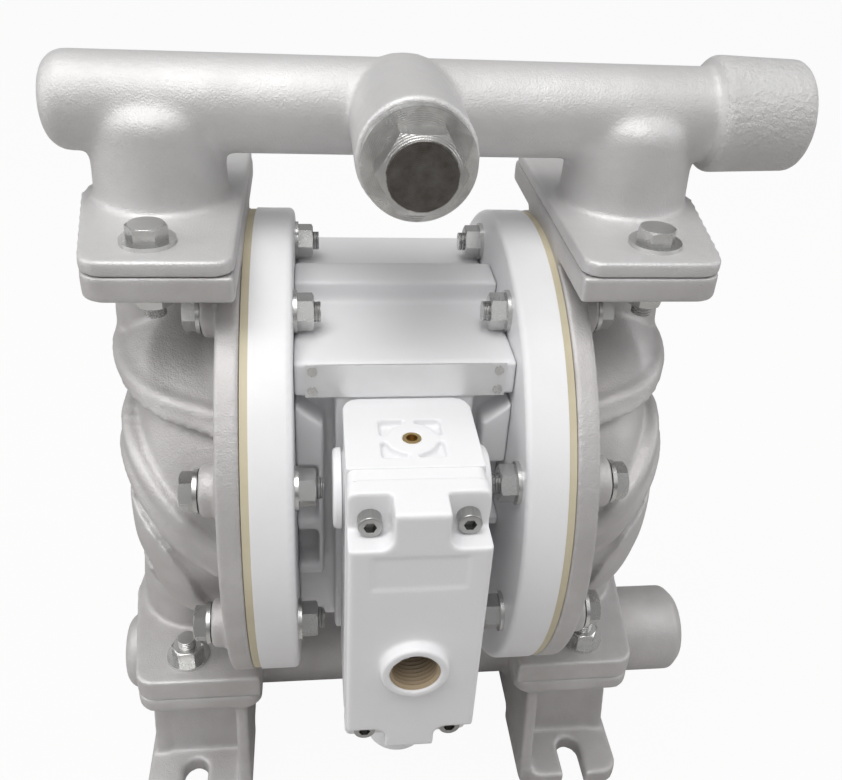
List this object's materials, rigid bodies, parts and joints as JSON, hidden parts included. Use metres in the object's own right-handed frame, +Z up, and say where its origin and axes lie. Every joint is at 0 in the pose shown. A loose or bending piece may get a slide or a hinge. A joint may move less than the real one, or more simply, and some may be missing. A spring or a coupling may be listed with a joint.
{
  "type": "air operated double diaphragm pump",
  "caption": "Air driven double diaphragm pump with cast metal liquid chambers, white plastic air side, ball check valves, upper discharge and lower suction manifold on feet.",
  "frame": {"origin": "centre of the four foot bolts on the floor, midway between the two diaphragms", "axes": "+X along the shaft towards the outlet and inlet pipe ends, +Y to the back (exhaust), +Z up"},
  "size_m": [0.304, 0.2395, 0.3549],
  "materials": {
    "cast_aluminium": "sand cast and bead blasted, satin",
    "white_plastic": "moulded, satin",
    "diaphragm_rubber": "smooth moulded sheet",
    "stainless_steel": "machined",
    "plug_steel": "dark machined steel",
    "screw_steel": "zinc plated",
    "brass": "machined",
    "bearing_brass": "bored",
    "plate_aluminium": "thin bare sheet",
    "seat_plastic": "moulded",
    "valve_plastic": "moulded",
    "ball_rubber": "moulded, smooth",
    "seal_rubber": "moulded ring"
  },
  "bodies": {
    "housing": {"air_chamber_left": "white_plastic", "air_chamber_right": "white_plastic", "air_valve_body": "white_plastic", "air_valve_cover": "white_plastic", "brass_insert": "brass", "center_block": "white_plastic", "center_plug": "plug_steel", "diaphragm_left": "diaphragm_rubber", "diaphragm_right": "diaphragm_rubber", "discharge_bolts": "stainless_steel", "discharge_manifold": "cast_aluminium", "discharge_nuts": "stainless_steel", "discharge_seat_left": "seat_plastic", "discharge_seat_right": "seat_plastic", "discharge_washers": "stainless_steel", "inlet_bolts": "stainless_steel", "inlet_manifold": "cast_aluminium", "inlet_nuts": "stainless_steel", "inlet_seat_left": "seat_plastic", "inlet_seat_right": "seat_plastic", "inlet_washers": "stainless_steel", "liquid_chamber_left": "cast_aluminium", "liquid_chamber_right": "cast_aluminium", "name_plate": "plate_aluminium", "pilot_sleeve": "valve_plastic", "plate_pins": "stainless_steel", "plug_seal": "seal_rubber", "port_seals_left": "seal_rubber", "port_seals_right": "seal_rubber", "rim_bolts_left": "stainless_steel", "rim_bolts_right": "stainless_steel", "rim_nuts_left": "stainless_steel", "rim_nuts_right": "stainless_steel", "rim_washers_left": "stainless_steel", "rim_washers_right": "stainless_steel", "shaft_bush_left": "bearing_brass", "shaft_bush_right": "bearing_brass", "tail_cap": "white_plastic", "valve_plate": "white_plastic", "valve_screws": "screw_steel", "valve_side_caps": "white_plastic"},
    "shaft_group": {"shaft": "stainless_steel", "inner_piston_left": "stainless_steel", "inner_piston_right": "stainless_steel", "outer_piston_left": "stainless_steel", "outer_piston_right": "stainless_steel"},
    "pilot_spool": {"pilot_spool": "stainless_steel"},
    "valve_spool": {"valve_spool": "valve_plastic"},
    "inlet_ball_left": {"inlet_ball_left": "ball_rubber"},
    "inlet_ball_right": {"inlet_ball_right": "ball_rubber"},
    "discharge_ball_left": {"discharge_ball_left": "ball_rubber"},
    "discharge_ball_right": {"discharge_ball_right": "ball_rubber"}
  },
  "joints": [
    {"name": "shaft_stroke", "type": "slide", "parent": "housing", "child": "shaft_group", "axis": [1, 0, 0], "range_m": [-0.01, 0.01], "deforming": ["diaphragm_left", "diaphragm_right"]},
    {"name": "pilot_shift", "type": "slide", "parent": "housing", "child": "pilot_spool", "axis": [1, 0, 0], "range_m": [-0.003, 0.003]},
    {"name": "spool_shift", "type": "slide", "parent": "housing", "child": "valve_spool", "axis": [0, 0, 1], "range_m": [0, 0.01]},
    {"name": "inlet_ball_left_lift", "type": "slide", "parent": "housing", "child": "inlet_ball_left", "axis": [0, 0, 1], "range_m": [0, 0.008]},
    {"name": "inlet_ball_right_lift", "type": "slide", "parent": "housing", "child": "inlet_ball_right", "axis": [0, 0, 1], "range_m": [0, 0.008]},
    {"name": "discharge_ball_left_lift", "type": "slide", "parent": "housing", "child": "discharge_ball_left", "axis": [0, 0, 1], "range_m": [0, 0.008]},
    {"name": "discharge_ball_right_lift", "type": "slide", "parent": "housing", "child": "discharge_ball_right", "axis": [0, 0, 1], "range_m": [0, 0.008]}
  ]
}
